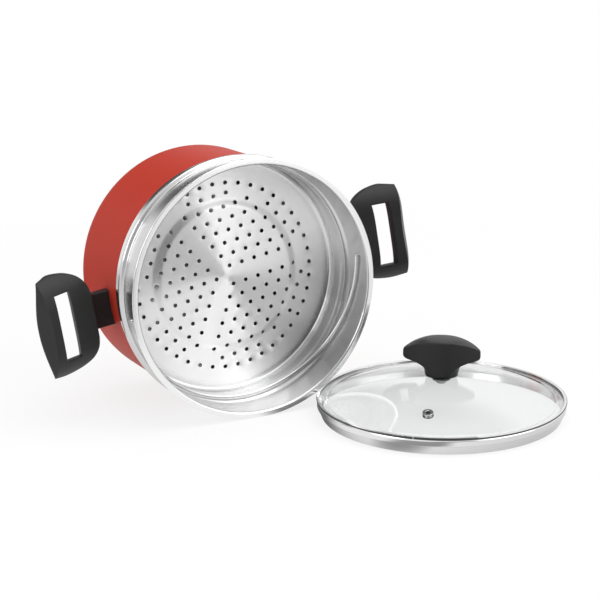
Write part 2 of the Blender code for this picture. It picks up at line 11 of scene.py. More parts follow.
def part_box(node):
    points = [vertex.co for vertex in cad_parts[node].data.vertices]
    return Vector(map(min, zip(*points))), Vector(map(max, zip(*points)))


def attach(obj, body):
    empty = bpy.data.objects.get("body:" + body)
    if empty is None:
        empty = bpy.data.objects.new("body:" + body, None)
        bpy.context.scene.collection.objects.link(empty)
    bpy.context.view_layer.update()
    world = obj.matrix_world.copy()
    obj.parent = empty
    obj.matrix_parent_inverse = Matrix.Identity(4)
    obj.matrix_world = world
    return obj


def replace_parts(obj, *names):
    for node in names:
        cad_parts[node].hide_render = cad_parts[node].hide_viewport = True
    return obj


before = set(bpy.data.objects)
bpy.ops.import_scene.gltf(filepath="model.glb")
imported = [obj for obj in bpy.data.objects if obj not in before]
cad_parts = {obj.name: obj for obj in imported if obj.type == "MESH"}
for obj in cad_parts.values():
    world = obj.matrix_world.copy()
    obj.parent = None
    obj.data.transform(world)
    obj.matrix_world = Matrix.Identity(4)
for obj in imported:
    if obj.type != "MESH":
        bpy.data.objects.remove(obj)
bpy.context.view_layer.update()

# Camera: 1.70 m from the plate of the basket, 26 degrees round from its front towards -X and 15.5
# degrees up, with a lens of 104 mm, as the ring of holes, both rims and the lid's flange were fitted.
PLATE_FROM_LID = (-0.1586, 0.1480, 0.1220518)
CAMERA_FROM_PLATE = (-0.6593, -1.5016, 0.4298)
CAMERA_LOOK = (0.42620, 0.86407, -0.26784)
CAMERA_ROLL = math.radians(-0.56)
LENS_MM = 103.74
SENSOR_MM = 36.0
lid_low, lid_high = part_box("lid_rim_band")
lid_centre = np.array([(lid_low.x + lid_high.x) / 2, (lid_low.y + lid_high.y) / 2, 0.0])
plate_centre = lid_centre + np.array(PLATE_FROM_LID)
camera_data = bpy.data.cameras.new("camera")
camera_data.lens = LENS_MM
camera_data.sensor_width = SENSOR_MM
camera_data.clip_start = 0.1
camera_data.clip_end = 30.0
camera = bpy.data.objects.new("camera", camera_data)
bpy.context.collection.objects.link(camera)
look = Vector(CAMERA_LOOK).normalized()
camera_turn = look.to_track_quat("-Z", "Y").to_matrix() @ Matrix.Rotation(CAMERA_ROLL, 3, "Z")
camera.matrix_world = Matrix.Translation(Vector(plate_centre) + Vector(CAMERA_FROM_PLATE))
camera.matrix_world @= camera_turn.to_4x4()
bpy.context.scene.camera = camera

# Pot body: one drawn stainless vessel, 1.2 mm thick, with its mouth turned over into a small bead.
# The outside is sprayed with red enamel and baked, up to 11 mm from the mouth, where bare polished
# steel shows; the inside is bare. It lies on its side, tipped up 2 degrees by the basket's lip.
REST_TILT = 0.0364908
POT_RADIUS = 0.1196
POT_HEIGHT = 0.1150
POT_WALL = 0.0012
POT_BASE = 0.0030
POT_INNER_CORNER = 0.0098
POT_OUTER_CORNER = 0.0150
MOUTH_BEAD_OUT = 0.0012
MOUTH_BEAD_TALL = 0.0030
PLATE_HEIGHT = 0.0874
PAINT_TOP = 0.1036
PAINT_EDGE = 0.0010
pot_frame = np.array([[1, 0, 0], [0, math.sin(REST_TILT), -math.cos(REST_TILT)],
                      [0, math.cos(REST_TILT), math.sin(REST_TILT)]])
pot_base = plate_centre - PLATE_HEIGHT * pot_frame[:, 2]


def linear(text):
    """An sRGB hex colour as linear red, green, blue and 1."""
    value = np.array([int(text[i:i + 2], 16) for i in (1, 3, 5)]) / 255.0
    value = np.where(value <= 0.04045, value / 12.92, ((value + 0.055) / 1.055) ** 2.4)
    return (*value.tolist(), 1.0)


def add(tree, kind, settings=None, **links):
    """Add a node with its settings, and feed its inputs, by name or as i and their number, with values
    or with other nodes' outputs."""
    node = tree.nodes.new(kind)
    for key, value in (settings or {}).items():
        setattr(node, key, value)
    for key, value in links.items():
        numbered = key[0] == "i" and key[1:].isdigit()
        socket = node.inputs[int(key[1:]) if numbered else key.replace("_", " ")]
        if isinstance(value, bpy.types.NodeSocket):
            tree.links.new(value, socket)
        else:
            socket.default_value = value
    return node


def finish_of(name, base, roughness, metallic=0.0, **extra):
    """A new material, its node tree and its shader, with plain values on the shader's own sockets."""
    made = bpy.data.materials.new(name)
    made.use_nodes = True
    shader = made.node_tree.nodes["Principled BSDF"]
    shader.inputs["Base Color"].default_value = linear(base)
    shader.inputs["Roughness"].default_value = roughness
    shader.inputs["Metallic"].default_value = metallic
    for key, value in extra.items():
        shader.inputs[key.replace("_", " ")].default_value = value
    return made, made.node_tree, shader


def turned_line(corners, fillet, steps=6):
    """Profile through corners, each rounded by a quadratic curve that starts a fillet's length away,
    but no further than 0.42 of the shorter side, with one more point just before and after it, at most
    0.4 mm off, so that flat parts keep flat shading."""
    corners = np.asarray(corners, float)
    fillet = np.broadcast_to(np.asarray(fillet, float), (len(corners) - 2,))
    back = corners[:-2] - corners[1:-1]
    on = corners[2:] - corners[1:-1]
    back_length = np.linalg.norm(back, axis=1)
    on_length = np.linalg.norm(on, axis=1)
    reach = np.minimum(fillet, 0.42 * np.minimum(back_length, on_length))
    first = corners[1:-1] + back * (reach / back_length)[:, None]
    last = corners[1:-1] + on * (reach / on_length)[:, None]
    guard = np.minimum(reach * 0.15, 0.0004)
    before = first + back * (guard / back_length)[:, None]
    after = last + on * (guard / on_length)[:, None]
    t = np.linspace(0, 1, steps + 1)[None, :, None]
    bend = (1 - t) ** 2 * first[:, None] + 2 * t * (1 - t) * corners[1:-1, None]
    bend = bend + t ** 2 * last[:, None]
    bend = np.concatenate([before[:, None], bend, after[:, None]], axis=1).reshape(-1, 2)
    return np.concatenate([corners[:1], bend, corners[-1:]])


def revolved(profile, sides=192):
    """Grid of a (radius, height) profile turned about Z: rows follow the profile, columns the angle."""
    angle = np.arange(sides) * 2 * math.pi / sides
    r, z = np.asarray(profile)[:, 0, None], np.asarray(profile)[:, 1, None]
    return np.stack([r * np.cos(angle), r * np.sin(angle), z + 0 * angle], axis=-1)


def surface(name, grid, turn, origin, finishes, wrap=(False, True), rows=None, sharp=40.0):
    """Mesh of a grid of points, put in its place by a turn and an origin, closed along the wrapped
    ways. Rows may name the finish of each strip of faces. Poles are merged. The volume between the
    middle and the faces is summed, and where it is negative the faces are turned to point outwards."""
    points = np.asarray(grid) @ np.asarray(turn).T + np.asarray(origin)
    index = np.arange(points.shape[0] * points.shape[1]).reshape(points.shape[:2])
    if wrap[0]:
        index = np.concatenate([index, index[:1]], axis=0)
    if wrap[1]:
        index = np.concatenate([index, index[:, :1]], axis=1)
    quads = np.stack([index[:-1, :-1], index[1:, :-1], index[1:, 1:], index[:-1, 1:]], axis=-1)
    flat = points.reshape(-1, 3)
    first, second, third, fourth = (flat[quads.reshape(-1, 4)] - flat.mean(0)).transpose(1, 0, 2)
    volume = np.sum(first * (np.cross(second, third) + np.cross(third, fourth)))
    if volume < 0:
        quads = quads[..., ::-1]
    strip = np.zeros(quads.shape[:2], int)
    if rows is not None:
        strip += np.asarray(rows)[:, None]
    mesh = bpy.data.meshes.new(name)
    mesh.from_pydata(flat.tolist(), [], quads.reshape(-1, 4).tolist())
    mesh.polygons.foreach_set("material_index", strip.reshape(-1).astype(np.int32))
    tidy = bmesh.new()
    tidy.from_mesh(mesh)
    bmesh.ops.remove_doubles(tidy, verts=tidy.verts, dist=2e-6)
    bmesh.ops.dissolve_degenerate(tidy, edges=tidy.edges, dist=1e-7)
    tidy.to_mesh(mesh)
    tidy.free()
    mesh.shade_smooth()
    mesh.set_sharp_from_angle(angle=math.radians(sharp))
    for finish in finishes:
        mesh.materials.append(finish)
    piece = bpy.data.objects.new(name, mesh)
    bpy.context.collection.objects.link(piece)
    return piece


# Sprayed and baked enamel: even satin red, very slightly uneven like orange peel.
red_enamel, tree, shader = finish_of("sprayed_red_enamel", "#B5382A", 0.45, Specular_IOR_Level=0.05)
place = add(tree, "ShaderNodeTexCoord").outputs["Object"]
cloud = add(tree, "ShaderNodeTexNoise", Vector=place, Scale=9.0, Detail=3.0).outputs["Fac"]
tone = add(tree, "ShaderNodeMix", {"data_type": "RGBA"}, i0=cloud, i6=linear("#AF3427"),
           i7=linear("#BB3C2D"))
tree.links.new(tone.outputs[2], shader.inputs["Base Color"])
peel = add(tree, "ShaderNodeTexNoise", Vector=place, Scale=420.0, Detail=2.0).outputs["Fac"]
bump = add(tree, "ShaderNodeBump", Height=peel, Strength=0.05, Distance=0.0004)
tree.links.new(bump.outputs["Normal"], shader.inputs["Normal"])

# Polished stainless steel: mirror bright, with faint cloudy marks that the polishing wheel leaves.
polished_steel, tree, shader = finish_of("polished_stainless_steel", "#E4E4E4", 0.12, 1.0)
place = add(tree, "ShaderNodeTexCoord").outputs["Object"]
smear = add(tree, "ShaderNodeTexNoise", Vector=place, Scale=60.0, Detail=4.0,
            Roughness=0.6).outputs["Fac"]
rough = add(tree, "ShaderNodeMapRange", Value=smear, To_Min=0.07, To_Max=0.17)
tree.links.new(rough.outputs[0], shader.inputs["Roughness"])

pot_inner = POT_RADIUS - POT_WALL
bead_radius = POT_RADIUS + MOUTH_BEAD_OUT
bead_foot = POT_HEIGHT - MOUTH_BEAD_TALL
pot_corners = [(0, POT_BASE), (pot_inner, POT_BASE), (pot_inner, POT_HEIGHT), (bead_radius, POT_HEIGHT)]
pot_corners += [(bead_radius, bead_foot), (POT_RADIUS, bead_foot)]
pot_corners += [(POT_RADIUS, PAINT_TOP), (POT_RADIUS, PAINT_TOP - PAINT_EDGE), (POT_RADIUS, 0), (0, 0)]
pot_fillets = [POT_INNER_CORNER, 0.0004, 0.0008, 0.0008, 0.0004, 0.00001, 0.00001, POT_OUTER_CORNER]
pot_line = turned_line(pot_corners, pot_fillets, 8)
past_mouth = np.arange(len(pot_line) - 1) > int(np.argmax(pot_line[:, 0] >= bead_radius - 1e-6))
painted = (pot_line[:-1, 1] <= PAINT_TOP + 1e-6) & past_mouth
pot_body = surface("pot_body_drawn_shell", revolved(pot_line, 256), pot_frame, pot_base,
                   [polished_steel, red_enamel], rows=painted.astype(int))
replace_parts(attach(pot_body, "pot"), "pot_body")

# Steamer basket: pressed and drawn stainless insert, 0.8 mm sheet. Its plate has a raised middle, a
# ring of 42 punched holes and three wedges of holes on a triangular grid. Its wall steps out to a
# bead that hangs on the pot's mouth, then rises to a wide rim with its edge turned down.
SHEET = 0.0008
BASKET_TURN = math.radians(10.7)
PLATE_EDGE = 0.1050
HOLE_RADIUS = 0.0020
HOLE_SIDES = 18
HOLE_LIP = 0.0002
LIP_DISH = 0.00004
RING_HOLES = 42
RING_RADIUS = 0.0920
WEDGE_TIP = 0.0109
WEDGE_PITCH = 0.01357
WEDGE_REACH = 0.0846
RAISED = 0.0033
RAISED_INNER = 0.0678
RAISED_OUTER = 0.0772
LOWER_WALL = 0.1160
STEP_FOOT = 0.0209
STEP_TOP = 0.0229
WAIST_WALL = 0.1170
BEAD_UNDER = 0.0289
BEAD_NECK = 0.1193
BEAD_WALL = 0.1229
BEAD_LOW = 0.0312
BEAD_HIGH = 0.0338
SHOULDER = 0.0364
UPPER_WALL = 0.1187
RIM_EDGE = 0.1251
RIM_HEIGHT = 0.0736
RIM_LIP_FOOT = 0.0712
BASKET_SIDES = 288
basket_frame = pot_frame @ np.array(Matrix.Rotation(BASKET_TURN, 3, "Z"))


def towards(angle):
    """Unit vectors at the given angles: cosine and sine."""
    return np.stack([np.cos(angle), np.sin(angle)], axis=-1)


def circle(count):
    """Points of the unit circle, at even steps of the angle."""
    return towards(2 * math.pi * np.arange(count) / count)


step_i, step_j = np.meshgrid(np.arange(9), np.arange(9), indexing="ij")
wedge = (math.pi / 3 + 2 * math.pi * np.arange(3) / 3)[:, None, None]
one_way = step_i[..., None] * towards(wedge + math.pi / 3)
other_way = step_j[..., None] * towards(wedge - math.pi / 3)
wedge_holes = (WEDGE_TIP * towards(wedge) + WEDGE_PITCH * (one_way + other_way)).reshape(-1, 2)
wedge_holes = wedge_holes[np.hypot(*wedge_holes.T) <= WEDGE_REACH]
holes = np.concatenate([RING_RADIUS * circle(RING_HOLES), wedge_holes])


def plate_rise(radius):
    """Height of the plate: raised in the middle, falling to nothing by a smooth step outside it."""
    t = np.clip((RAISED_OUTER - radius) / (RAISED_OUTER - RAISED_INNER), 0, 1)
    return RAISED * t * t * (3 - 2 * t)


def punched_plate(centres, edge_count, clear=0.0011):
    """Triangles round the holes: two rings of points at each hole, and circles about the middle that
    stay clear of them, joined by a constrained triangulation, with the triangles inside the holes left
    out. Each point is lifted to the plate's rise, and a hole's own edge is dished by a little."""
    rim = circle(HOLE_SIDES)
    lips = np.concatenate([centres[:, None] + rim * r for r in (HOLE_RADIUS, HOLE_RADIUS + HOLE_LIP)])
    loop = np.arange(HOLE_SIDES)
    lip_edges = np.stack([loop, (loop + 1) % HOLE_SIDES], axis=-1)[None]
    lip_edges = lip_edges + HOLE_SIDES * np.arange(len(lips))[:, None, None]
    radii = [0.004, 0.010, 0.017, 0.024, 0.031, 0.038, 0.045, 0.052, 0.058, 0.063, 0.0665, 0.0678]
    radii += [0.0690, 0.0702, 0.0714, 0.0725, 0.0736, 0.0748, 0.0760, 0.0772, 0.0785]
    radii += [0.082, 0.087, 0.097, 0.101]
    rings = np.concatenate([r * circle(edge_count // 2) for r in radii])
    gap = np.linalg.norm(rings[:, None] - centres[None], axis=-1).min(1)
    rings = rings[gap > HOLE_RADIUS + clear]
    points = np.concatenate([lips.reshape(-1, 2), PLATE_EDGE * circle(edge_count), rings])
    result = delaunay_2d_cdt([Vector(p) for p in points.tolist()], lip_edges.reshape(-1, 2).tolist(),
                             [], 0, 1e-7)
    flat = np.array([tuple(v) for v in result[0]])
    triangles = np.array(result[2])
    middle = flat[triangles].mean(1)
    nearest = np.linalg.norm(middle[:, None] - centres[None], axis=-1).min(1)
    triangles = triangles[nearest > HOLE_RADIUS * 0.985]
    gap = np.linalg.norm(flat[:, None] - centres[None], axis=-1).min(1)
    height = plate_rise(np.hypot(*flat.T)) - np.where(gap < HOLE_RADIUS + HOLE_LIP / 2, LIP_DISH, 0.0)
    return np.column_stack([flat, height]), triangles


basket_corners = [(PLATE_EDGE, 0), (LOWER_WALL, 0), (LOWER_WALL, STEP_FOOT), (WAIST_WALL, STEP_TOP)]
basket_corners += [(WAIST_WALL, BEAD_UNDER), (BEAD_NECK, BEAD_UNDER), (BEAD_WALL, BEAD_LOW)]
basket_corners += [(BEAD_WALL, BEAD_HIGH), (UPPER_WALL, SHOULDER), (UPPER_WALL, RIM_HEIGHT)]
basket_corners += [(RIM_EDGE, RIM_HEIGHT), (RIM_EDGE, RIM_LIP_FOOT)]
basket_fillets = [0.011, 0.0012, 0.0012, 0.0006, 0.0008, 0.0016, 0.0016, 0.0014, 0.0032, 0.0008]
basket_line = turned_line(basket_corners, basket_fillets)
plate_points, plate_faces = punched_plate(holes, BASKET_SIDES)
wall_grid = revolved(basket_line, BASKET_SIDES)
wall_points = wall_grid.reshape(-1, 3)
wall_index = np.arange(len(wall_points)).reshape(wall_grid.shape[:2]) + len(plate_points)
wall_index = np.concatenate([wall_index, wall_index[:, :1]], axis=1)
wall_faces = np.stack([wall_index[:-1, :-1], wall_index[:-1, 1:], wall_index[1:, 1:],
                       wall_index[1:, :-1]], axis=-1)
basket_points = np.concatenate([plate_points, wall_points]) @ basket_frame.T + plate_centre
basket_mesh = bpy.data.meshes.new("steamer_basket_sheet")
basket_mesh.from_pydata(basket_points.tolist(), [],
                        plate_faces.tolist() + wall_faces.reshape(-1, 4).tolist())
tidy = bmesh.new()
tidy.from_mesh(basket_mesh)
bmesh.ops.remove_doubles(tidy, verts=tidy.verts, dist=2e-6)
bmesh.ops.recalc_face_normals(tidy, faces=tidy.faces)
tidy.to_mesh(basket_mesh)
tidy.free()
toward = np.array([tuple(p.normal) for p in basket_mesh.polygons[:50]]) @ basket_frame[:, 2]
if toward.sum() < 0:
    basket_mesh.flip_normals()
basket_mesh.shade_smooth()
basket_mesh.set_sharp_from_angle(angle=math.radians(50))
basket = bpy.data.objects.new("steamer_basket_sheet", basket_mesh)
bpy.context.collection.objects.link(basket)
thick = basket.modifiers.new("sheet", "SOLIDIFY")
thick.thickness = SHEET
thick.offset = -1.0

# The sheet's own map: first the distance along the profile, then a tenth of the angle round the axis.
loop_vertex = np.zeros(len(basket_mesh.loops), np.int32)
basket_mesh.loops.foreach_get("vertex_index", loop_vertex)
loop_start = np.zeros(len(basket_mesh.polygons), np.int32)
basket_mesh.polygons.foreach_get("loop_start", loop_start)
flat = np.zeros(len(basket_mesh.vertices) * 3, np.float32)
basket_mesh.vertices.foreach_get("co", flat)
flat = (flat.reshape(-1, 3) - plate_centre) @ basket_frame
radius = np.hypot(flat[:, 0], flat[:, 1])
along = np.where(radius < PLATE_EDGE, radius, radius + np.maximum(flat[:, 2], 0))
angle = np.arctan2(flat[:, 1], flat[:, 0])[loop_vertex]
sizes = np.diff(np.append(loop_start, len(loop_vertex)))
first = np.repeat(angle[loop_start], sizes)
angle = first + (angle - first + math.pi) % (2 * math.pi) - math.pi
chart = basket_mesh.uv_layers.new(name="profile_and_angle")
chart_points = np.stack([along[loop_vertex], angle * 0.1], axis=-1)
chart.data.foreach_set("uv", chart_points.astype(np.float32).ravel())

# Brushed stainless sheet: the plate is finished on a lathe, so its fine scratches run in circles and
# stretch each highlight along the radius, in bright and dark fans; the wall above its corner is finer,
# and painted greyer up to the polished rim, as painted shade. Scratches are 0.4 mm wide here, coarser
# than real, to show.
CORNER_BLEND = 0.0120
RIM_REACH = 0.1925
brushed_steel, tree, shader = finish_of("lathe_brushed_stainless_steel", "#F0F0F0", 0.36, 1.0,
                                        Anisotropic=1.0)
lay = add(tree, "ShaderNodeTangent", {"direction_type": "UV_MAP", "uv_map": "profile_and_angle"})
tree.links.new(lay.outputs[0], shader.inputs["Tangent"])
chart_place = add(tree, "ShaderNodeUVMap", {"uv_map": "profile_and_angle"}).outputs[0]
stretched = add(tree, "ShaderNodeMapping", Vector=chart_place, Scale=(2500.0, 12.0, 1.0)).outputs[0]
scratch = add(tree, "ShaderNodeTexNoise", Vector=stretched, Scale=1.0, Detail=3.0,
              Roughness=0.6).outputs["Fac"]
reach = add(tree, "ShaderNodeSeparateXYZ", Vector=chart_place).outputs["X"]
on_wall = add(tree, "ShaderNodeMapRange", {"interpolation_type": "SMOOTHSTEP"}, Value=reach,
              From_Min=PLATE_EDGE, From_Max=PLATE_EDGE + CORNER_BLEND).outputs[0]
coarse = add(tree, "ShaderNodeMapRange", Value=on_wall, To_Min=0.31, To_Max=0.17).outputs[0]
streak = add(tree, "ShaderNodeMapRange", Value=scratch, To_Min=0.78, To_Max=1.22).outputs[0]
rough = add(tree, "ShaderNodeMath", {"operation": "MULTIPLY"}, i0=coarse, i1=streak)
tree.links.new(rough.outputs[0], shader.inputs["Roughness"])
below_rim = add(tree, "ShaderNodeMapRange", Value=reach, From_Min=RIM_REACH,
                From_Max=RIM_REACH + 0.0010, To_Min=1.0, To_Max=0.0).outputs[0]
# Painted shade: the wall between the plate's corner and the rim gets a greyer steel colour.
painted_shade_on_wall = add(tree, "ShaderNodeMath", {"operation": "MULTIPLY"}, i0=on_wall, i1=below_rim).outputs[0]
tone = add(tree, "ShaderNodeMix", {"data_type": "RGBA"}, i0=painted_shade_on_wall, i6=linear("#F0F0F0"),
           i7=linear("#D0D0D0"))
tree.links.new(tone.outputs[2], shader.inputs["Base Color"])
bump = add(tree, "ShaderNodeBump", Height=scratch, Strength=0.20, Distance=0.0001)
tree.links.new(bump.outputs["Normal"], shader.inputs["Normal"])
basket_mesh.materials.append(brushed_steel)
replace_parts(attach(basket, "basket"), "steamer_basket")

# Wire bail: 3 mm stainless wire bent into a half loop, its ends turned out through two holes in the
# basket's wall. It has fallen against the lower wall.
WIRE_RADIUS = 0.0015
BAIL_HEIGHT = 0.0565
BAIL_REACH = 0.1164
BAIL_TIP = 0.1227
BAIL_BEND = 0.0035
BAIL_TURN = math.radians(-2.4)
BAIL_LEAN = math.radians(192.6)
bail_turn = Matrix.Rotation(BAIL_TURN, 3, "Z") @ Matrix.Rotation(BAIL_LEAN, 3, "X")
bail_frame = basket_frame @ np.array(bail_turn)
bail_corner = turned_line([(BAIL_TIP, 0), (BAIL_REACH, 0), (BAIL_REACH, 0.0060)], BAIL_BEND, 8)[:-1]
bail_arc = BAIL_REACH * towards(np.linspace(0, math.pi, 97))
bail_arc = bail_arc[bail_arc[:, 1] > BAIL_BEND + 0.0010]
bail_path = np.concatenate([bail_corner, bail_arc, bail_corner[::-1] * [-1, 1]])


def wire_along(path, radius, sides=16):
    """Round wire along a flat path: at each point a circle in the plane of the path's normal and Z.
    Both ends are narrowed by a quarter and closed to a point."""
    along = np.gradient(path, axis=0)
    along /= np.linalg.norm(along, axis=1)[:, None]
    across = np.stack([-along[:, 1], along[:, 0], 0 * along[:, 0]], axis=-1)
    centre = np.column_stack([path, np.zeros(len(path))])
    size = np.full(len(path), radius)
    size[[0, -1]] = radius * 0.75
    turn, lift = circle(sides).T[:, None, :, None]
    ring = turn * across[:, None] + lift * np.array([0, 0, 1.0])
    tube = centre[:, None] + size[:, None, None] * ring
    first = np.repeat(centre[:1, None], sides, 1)
    last = np.repeat(centre[-1:, None], sides, 1)
    return np.concatenate([first, tube, last])


bail = surface("basket_bail_wire", wire_along(bail_path, WIRE_RADIUS), bail_frame,
               plate_centre + BAIL_HEIGHT * basket_frame[:, 2], [polished_steel])
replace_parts(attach(bail, "bail"), "basket_bail")

# Side handles: phenolic plastic pressed in a mould, a flat block at the pot wall that steps up into a
# wide leaning plate with a finger slot and a facet along its outer edge. A screw from below holds
# each one to a small bracket welded to the pot.
GRIP_ROOT = 0.1402
GRIP_CREASE = 0.1873
GRIP_TIP = 0.1919
GRIP_REACH = 0.1976
HALF_WIDE = 0.0495
HALF_TIP = 0.0472
HALF_ROOT = 0.0210
SLOT_NEAR = 0.1628
SLOT_FAR = 0.1789
SLOT_HALF = 0.03225
ROUND_EDGE = 0.0011
ROUND_SLOT = 0.6 * ROUND_EDGE
FRONT_AT_ROOT = 0.0146
FRONT_SLOPE = 0.3392
FRONT_FACET = 1.45
FRONT_SAG = 0.0140
REAR_REACH = (GRIP_ROOT, GRIP_ROOT + 0.0204, GRIP_CREASE, 0.1930)
REAR_HEIGHT = (0.0061, 0.01302, 0.0204, 0.0220)
REAR_FACET = 1.50
REAR_SAG = 0.0100
SEAT_HEIGHT = 0.0834


def curve_through(points, steps=12):
    """Points of a smooth curve through the given ones: between each two, a cubic whose slope at both
    ends is half the step from the point before to the point after, worked out for all spans at once."""
    points = np.asarray(points, float)
    padded = np.concatenate([2 * points[:1] - points[1:2], points, 2 * points[-1:] - points[-2:-1]])
    before, first, second, after = (padded[i:len(padded) - 3 + i, None] for i in range(4))
    t = (np.arange(steps) / steps)[None, :, None]
    spans = 2 * first + (second - before) * t + (2 * before - 5 * first + 4 * second - after) * t ** 2
    spans = (spans + (3 * first - before - 3 * second + after) * t ** 3) / 2
    return np.concatenate([spans.reshape(-1, points.shape[1]), points[-1:]])


def crease_at(u):
    """Where the outer facet begins: a parabola that meets the outline at both tips."""
    return GRIP_CREASE + (GRIP_TIP - GRIP_CREASE) * (u / HALF_TIP) ** 2


def plate_front(v, u):
    """Front of the grip: a slope up to the crease and a steep fall beyond it, all sinking towards the
    two ends with the fourth power of the distance from the middle."""
    rise = FRONT_AT_ROOT + FRONT_SLOPE * (np.minimum(v, crease_at(u)) - GRIP_ROOT)
    return rise - FRONT_FACET * np.maximum(v - crease_at(u), 0) - FRONT_SAG * (u / HALF_TIP) ** 4


def plate_rear(v, u):
    """Rear of the grip: straight runs between four heights, 8.5 mm behind the front at the root and
    10 mm at the crease, with the same kind of facet and less sinking towards the ends."""
    rise = np.interp(np.minimum(v, crease_at(u)), REAR_REACH, REAR_HEIGHT)
    return rise - REAR_FACET * np.maximum(v - crease_at(u), 0) - REAR_SAG * (u / HALF_TIP) ** 4


# Black phenolic moulding: satin, nearly black, with a slightly uneven sheen and fine surface grain.
black_phenolic, tree, shader = finish_of("moulded_black_phenolic", "#292929", 0.42,
                                         Specular_IOR_Level=0.22)
place = add(tree, "ShaderNodeTexCoord").outputs["Object"]
uneven = add(tree, "ShaderNodeTexNoise", Vector=place, Scale=35.0, Detail=4.0).outputs["Fac"]
rough = add(tree, "ShaderNodeMapRange", Value=uneven, To_Min=0.34, To_Max=0.48)
tree.links.new(rough.outputs[0], shader.inputs["Roughness"])
grain = add(tree, "ShaderNodeTexNoise", Vector=place, Scale=900.0, Detail=2.0).outputs["Fac"]
bump = add(tree, "ShaderNodeBump", Height=grain, Strength=0.06, Distance=0.0003)
tree.links.new(bump.outputs["Normal"], shader.inputs["Normal"])


def straight(corners, samples=48):
    """Open run of points from each corner to the next at even steps, without the last corner."""
    corners = np.asarray(corners, float)
    t = (np.arange(samples) / samples)[None, :, None]
    return (corners[:-1, None] * (1 - t) + corners[1:, None] * t).reshape(-1, 2)


def grip_outline(samples=48):
    """Outline of the plate in four sides, as the slot has: a curve through fitted points on both
    flanks, the outer side a power curve, and the root side straight."""
    v = np.array([GRIP_ROOT, 0.1412, 0.1435, 0.1480, 0.1552, 0.1642, 0.1782, GRIP_TIP])
    u = np.array([HALF_ROOT, 0.0282, 0.0342, 0.0401, 0.0446, 0.0478, HALF_WIDE, HALF_TIP])
    curve = curve_through(np.stack([v, u], axis=-1))
    length = np.concatenate([[0], np.cumsum(np.hypot(*np.diff(curve, axis=0).T))])
    fine = np.linspace(0, length[-1], 400)
    curve = np.stack([np.interp(fine, length, curve[:, k]) for k in (0, 1)], axis=-1)
    t = np.arange(samples) / samples
    high = curve[np.round((1 - t) * 399).astype(int)]
    low = (curve * [1, -1])[np.round(t * 399).astype(int)]
    side = -HALF_TIP + 2 * HALF_TIP * t
    bulge = (GRIP_REACH - GRIP_TIP) * (1 - np.abs(side / HALF_TIP) ** 2.2)
    far = np.stack([GRIP_TIP + bulge, side], axis=-1)
    near = straight([(GRIP_ROOT, HALF_ROOT), (GRIP_ROOT, -HALF_ROOT)], samples)
    return np.concatenate([low, far, high, near])


def inward(loop, distance):
    """Move each point of a closed loop to its inner side by a distance, along the loop's own normal."""
    along = np.roll(loop, -1, axis=0) - np.roll(loop, 1, axis=0)
    along /= np.linalg.norm(along, axis=1)[:, None] + 1e-12
    return loop + distance * np.stack([-along[:, 1], along[:, 0]], axis=-1)


def on_front(loop, sunk=0.0):
    """A loop laid on the front of the plate, or sunk below it."""
    return np.column_stack([loop, plate_front(*loop.T) - sunk])


def on_rear(loop, raised=0.0):
    """A loop laid on the rear of the plate, or raised from it."""
    return np.column_stack([loop, plate_rear(*loop.T) + raised])


# The plate is one closed run of loops: up out of the slot, over its rounded edge, across the front to
# the crease and on to the outline, round that, and back across the rear, which is drawn in at the tips.
FLANK = (0.1510, 0.0405)
CREASE_HALF = 0.0462
REAR_INSET = 0.0045
INSET_FROM = 0.1780
slot = straight([(SLOT_NEAR, -SLOT_HALF), (SLOT_FAR, -SLOT_HALF), (SLOT_FAR, SLOT_HALF),
                 (SLOT_NEAR, SLOT_HALF), (SLOT_NEAR, -SLOT_HALF)])
slot_lip = inward(slot, -ROUND_SLOT)
wide = grip_outline()
crease_side = np.linspace(-CREASE_HALF, CREASE_HALF, 49)
crease_line = np.stack([crease_at(crease_side), crease_side], axis=-1)
low_flank = (FLANK[0], -FLANK[1])
crease_loop = np.concatenate([straight([low_flank, crease_line[0]]), crease_line[:-1],
                              straight([crease_line[-1], FLANK, low_flank])])
inset = np.clip((wide[:, 0] - INSET_FROM) / (GRIP_TIP - INSET_FROM), 0, 1)
rear_wide = np.column_stack([wide[:, 0] - REAR_INSET * inset, wide[:, 1]])
rounds = [(1 - math.cos(a), 1 - math.sin(a)) for a in np.linspace(0, math.pi / 2, 5)]
loops = [on_front(inward(slot, -ROUND_SLOT * out), ROUND_SLOT * down) for out, down in rounds]
loops += [on_front(slot_lip * (1 - t) + crease_loop * t) for t in np.linspace(0.15, 1, 6)]
wide_lip = inward(wide, ROUND_EDGE)
loops += [on_front(crease_loop * (1 - t) + wide_lip * t) for t in np.linspace(0.04, 1, 8)]
loops += [on_front(inward(wide, ROUND_EDGE * out), ROUND_EDGE * down) for down, out in rounds[1:]]
loops += [on_rear(inward(rear_wide, ROUND_EDGE * out), ROUND_EDGE * up) for out, up in rounds]
rear_lip = inward(rear_wide, ROUND_EDGE)
loops += [on_rear(rear_lip * (1 - t) + slot_lip * t) for t in np.linspace(0.1, 1, 7)]
loops += [on_rear(inward(slot, -ROUND_SLOT * out), ROUND_SLOT * up) for up, out in rounds[1:]]
grip_plate = np.stack(loops)


